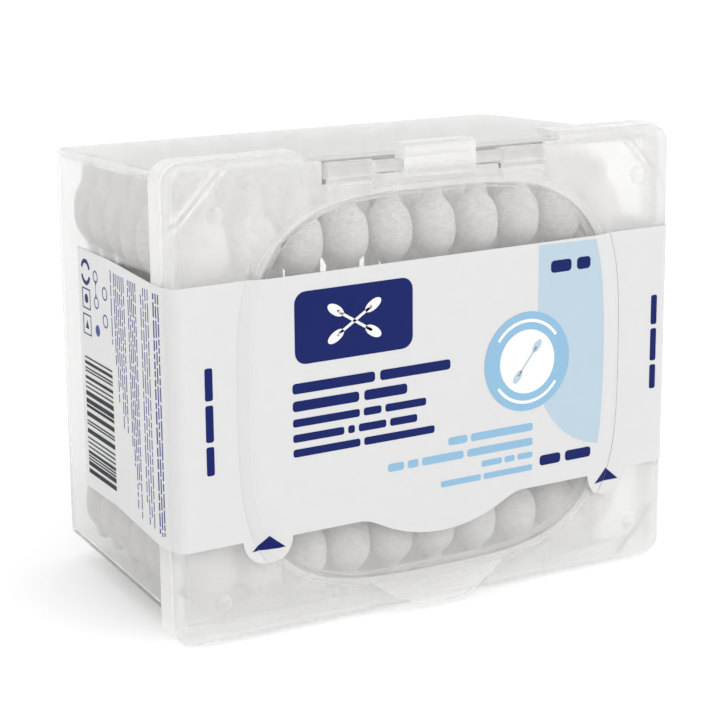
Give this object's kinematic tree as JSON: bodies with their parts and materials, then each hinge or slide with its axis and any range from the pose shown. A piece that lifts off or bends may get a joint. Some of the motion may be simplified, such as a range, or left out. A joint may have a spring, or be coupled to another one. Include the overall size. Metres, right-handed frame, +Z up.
{
  "type": "cotton swab box",
  "caption": "Clear-fronted plastic box of cotton swabs: a drafted frosted tub, a press-on front cap with a hinged oval lid and pull tab, and a wrap-round label.",
  "frame": {"origin": "centre of the box's plan outline at its lowest face", "axes": "+Z up, the lid faces -Y, +X to the right of someone facing the lid"},
  "size_m": [0.1062, 0.0624, 0.0868],
  "materials": {
    "frosted_plastic": "frosted",
    "cap_plastic": "gloss",
    "lid_plastic": "gloss",
    "label_film": "satin",
    "paper_stick": "matte",
    "cotton": "matte"
  },
  "bodies": {
    "box": {"tub": "frosted_plastic", "front_cap": "cap_plastic", "label_left_wrap": "label_film", "label_right_wrap": "label_film", "swab_sticks_row_1": "paper_stick", "swab_sticks_row_2": "paper_stick", "swab_sticks_row_3": "paper_stick", "swab_sticks_row_4": "paper_stick", "swab_sticks_row_5": "paper_stick", "swab_sticks_row_6": "paper_stick", "swab_sticks_row_7": "paper_stick", "swab_tips_row_1": "cotton", "swab_tips_row_2": "cotton", "swab_tips_row_3": "cotton", "swab_tips_row_4": "cotton", "swab_tips_row_5": "cotton", "swab_tips_row_6": "cotton", "swab_tips_row_7": "cotton"},
    "lid": {"lid": "lid_plastic", "label_lid_panel": "label_film"}
  },
  "joints": [
    {"name": "lid_hinge", "type": "hinge", "parent": "box", "child": "lid", "pos_m": [0, -0.02806, 0.083], "axis": [-1, 0, 0], "range_deg": [0, 115]}
  ]
}
